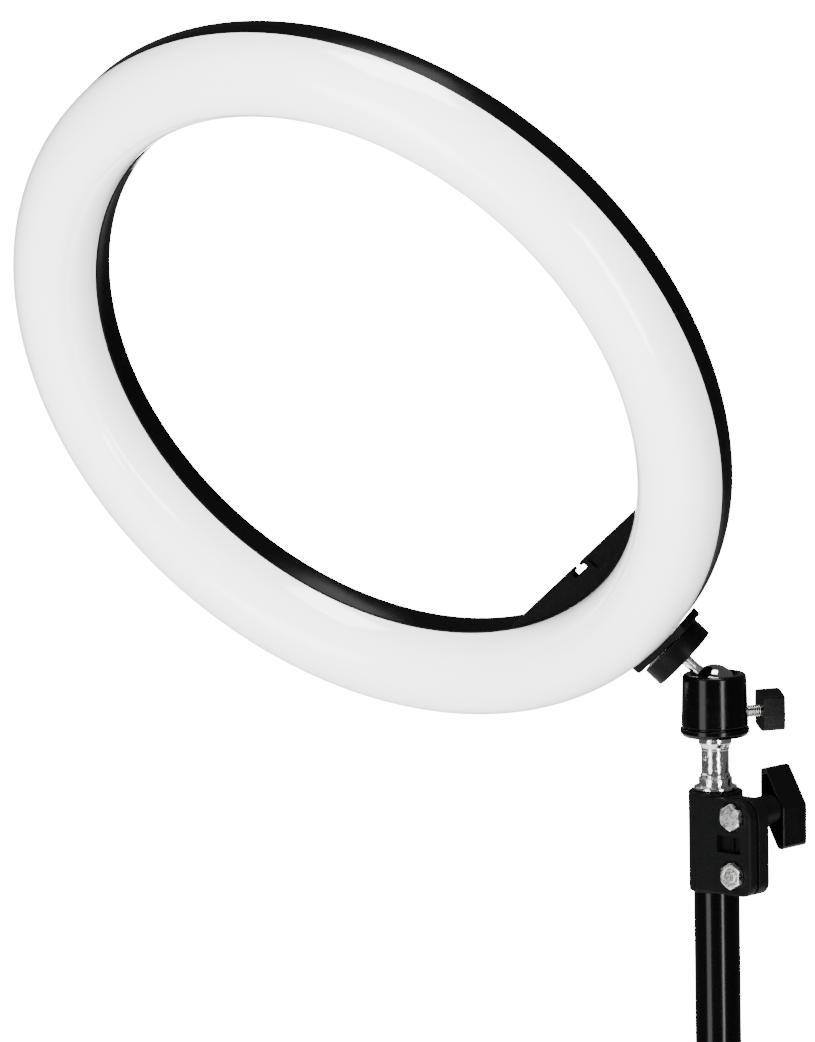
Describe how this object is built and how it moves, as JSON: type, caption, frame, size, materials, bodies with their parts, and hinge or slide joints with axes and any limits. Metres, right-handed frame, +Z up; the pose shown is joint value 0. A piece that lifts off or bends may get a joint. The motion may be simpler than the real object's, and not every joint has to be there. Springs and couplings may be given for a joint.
{
  "type": "ring light",
  "caption": "Ring light with a white D-section diffuser on a ball head, on a telescopic stand with split clamps and a folding tripod.",
  "frame": {"origin": "on the floor, at the middle of the column's foot", "axes": "+Z up along the column; one leg points along -Y, towards the front; the ring leans to -X"},
  "size_m": [0.7106, 0.6153, 1.0853],
  "materials": {
    "casing_black": "satin moulded black",
    "diffuser_white": "milky white, softly glossy",
    "board_white": "white solder mask",
    "brass": "turned brass",
    "grey_plastic": "plain dark grey",
    "chrome": "bright plated",
    "anodised_black": "glossy black anodised",
    "zinc": "zinc plated",
    "knob_black": "semi-gloss moulded black",
    "collar_black": "matt moulded black",
    "painted_black": "glossy black coat",
    "rubber": "matt black"
  },
  "bodies": {
    "base": {"base_tube": "painted_black", "base_plug": "rubber", "lower_hub": "collar_black", "hub_pin_1": "zinc", "hub_pin_2": "zinc", "hub_pin_3": "zinc", "collar_2_clamp": "collar_black", "collar_2_bolt": "zinc", "collar_2_lower_bolt": "zinc", "collar_2_nut": "zinc"},
    "brace_1": {"brace_1": "painted_black"},
    "leg_1": {"leg_1": "painted_black", "foot_1": "rubber", "mid_pin_1": "zinc"},
    "brace_2": {"brace_2": "painted_black"},
    "leg_2": {"leg_2": "painted_black", "foot_2": "rubber", "mid_pin_2": "zinc"},
    "brace_3": {"brace_3": "painted_black"},
    "leg_3": {"leg_3": "painted_black", "foot_3": "rubber", "mid_pin_3": "zinc"},
    "leg_collar": {"leg_collar": "collar_black", "lug_pin_1": "zinc", "lug_pin_2": "zinc", "lug_pin_3": "zinc"},
    "leg_collar_knob": {"leg_collar_knob": "knob_black", "leg_collar_bolt": "zinc"},
    "collar_2_knob": {"collar_2_knob": "knob_black"},
    "mid_section": {"mid_tube": "painted_black", "mid_glide": "grey_plastic", "collar_1_clamp": "collar_black", "collar_1_bolt": "zinc", "collar_1_lower_bolt": "zinc", "collar_1_nut": "zinc"},
    "collar_1_knob": {"collar_1_knob": "knob_black"},
    "top_section": {"top_tube": "painted_black", "top_glide": "grey_plastic", "spigot": "chrome"},
    "ball_head": {"ball_housing": "anodised_black", "base_ring": "anodised_black", "ball_seat": "brass"},
    "lock_knob": {"lock_knob": "knob_black", "lock_screw": "zinc"},
    "ball": {"ball": "chrome"},
    "stem": {"stem": "chrome"},
    "lock_disc": {"lock_disc": "casing_black"},
    "light": {"rear_housing": "casing_black", "diffuser": "diffuser_white", "led_board": "board_white", "accessory_plate": "casing_black", "foot_block": "casing_black", "foot_insert": "brass", "cable_gland": "grey_plastic", "housing_screw_1": "zinc", "housing_screw_2": "zinc", "housing_screw_3": "zinc", "housing_screw_4": "zinc"}
  },
  "joints": [
    {"name": "tripod_fold", "type": "hinge", "parent": "base", "child": "brace_1", "pos_m": [0.02079, 0.012, 0.0315], "axis": [-0.5, 0.866, 0], "range_deg": [-50.5, 0]},
    {"name": "leg_1_fold", "type": "hinge", "parent": "brace_1", "child": "leg_1", "pos_m": [0.16698, 0.09641, 0.15641], "axis": [-0.5, 0.866, 0], "range_deg": [0, 101]},
    {"name": "brace_2_fold", "type": "hinge", "parent": "base", "child": "brace_2", "pos_m": [-0.02079, 0.012, 0.0315], "axis": [-0.5, -0.866, 0], "range_deg": [-50.5, 0]},
    {"name": "leg_2_fold", "type": "hinge", "parent": "brace_2", "child": "leg_2", "pos_m": [-0.16698, 0.09641, 0.15641], "axis": [-0.5, -0.866, 0], "range_deg": [0, 101]},
    {"name": "brace_3_fold", "type": "hinge", "parent": "base", "child": "brace_3", "pos_m": [0, -0.024, 0.0315], "axis": [1, 0, 0], "range_deg": [-50.5, 0]},
    {"name": "leg_3_fold", "type": "hinge", "parent": "brace_3", "child": "leg_3", "pos_m": [0, -0.19281, 0.15641], "axis": [1, 0, 0], "range_deg": [0, 101]},
    {"name": "leg_collar_slide", "type": "slide", "parent": "base", "child": "leg_collar", "axis": [0, 0, 1], "range_m": [0, 0.1698]},
    {"name": "leg_collar_knob_turn", "type": "hinge", "parent": "leg_collar", "child": "leg_collar_knob", "pos_m": [0, 0, 0.28133], "axis": [0.866, -0.5, 0], "range_deg": [0, 360]},
    {"name": "collar_2_knob_turn", "type": "hinge", "parent": "base", "child": "collar_2_knob", "pos_m": [0.01492, -0.01391, 0.5669], "axis": [0.682, 0.7314, 0], "range_deg": [0, 360]},
    {"name": "mid_slide", "type": "slide", "parent": "base", "child": "mid_section", "axis": [0, 0, 1], "range_m": [-0.13, 0.28]},
    {"name": "collar_1_knob_turn", "type": "hinge", "parent": "mid_section", "child": "collar_1_knob", "pos_m": [0.01382, -0.01289, 0.7489], "axis": [0.682, 0.7314, 0], "range_deg": [0, 360]},
    {"name": "top_slide", "type": "slide", "parent": "mid_section", "child": "top_section", "axis": [0, 0, 1], "range_m": [0, 0.42]},
    {"name": "ball_head_turn", "type": "hinge", "parent": "top_section", "child": "ball_head", "pos_m": [0, 0, 0.7799], "axis": [0, 0, 1], "continuous": true},
    {"name": "lock_knob_turn", "type": "hinge", "parent": "ball_head", "child": "lock_knob", "pos_m": [0, 0, 0.7888], "axis": [0.9397, 0.342, 0], "range_deg": [0, 360]},
    {"name": "ball_pan", "type": "hinge", "parent": "ball_head", "child": "ball", "pos_m": [0, 0, 0.8003], "axis": [0, 0, 1], "continuous": true},
    {"name": "ball_lean", "type": "hinge", "parent": "ball", "child": "stem", "pos_m": [0, 0, 0.8003], "axis": [-0.0924, -0.9957, 0], "range_deg": [-91.9, 0]},
    {"name": "lock_disc_spin", "type": "hinge", "parent": "stem", "child": "lock_disc", "pos_m": [-0.01503, 0.00139, 0.8149], "axis": [-0.7157, 0.0664, 0.6953], "continuous": true},
    {"name": "light_swivel", "type": "hinge", "parent": "stem", "child": "light", "pos_m": [-0.02147, 0.00199, 0.82116], "axis": [-0.7157, 0.0664, 0.6953], "continuous": true}
  ],
  "couplings": [
    {"joint": "brace_2_fold", "follows": "tripod_fold", "ratio": 1},
    {"joint": "brace_3_fold", "follows": "tripod_fold", "ratio": 1},
    {"joint": "leg_1_fold", "follows": "tripod_fold", "ratio": -2},
    {"joint": "leg_2_fold", "follows": "tripod_fold", "ratio": -2},
    {"joint": "leg_3_fold", "follows": "tripod_fold", "ratio": -2},
    {"joint": "leg_collar_slide", "follows": "tripod_fold", "m_per_rad": -0.19242}
  ]
}
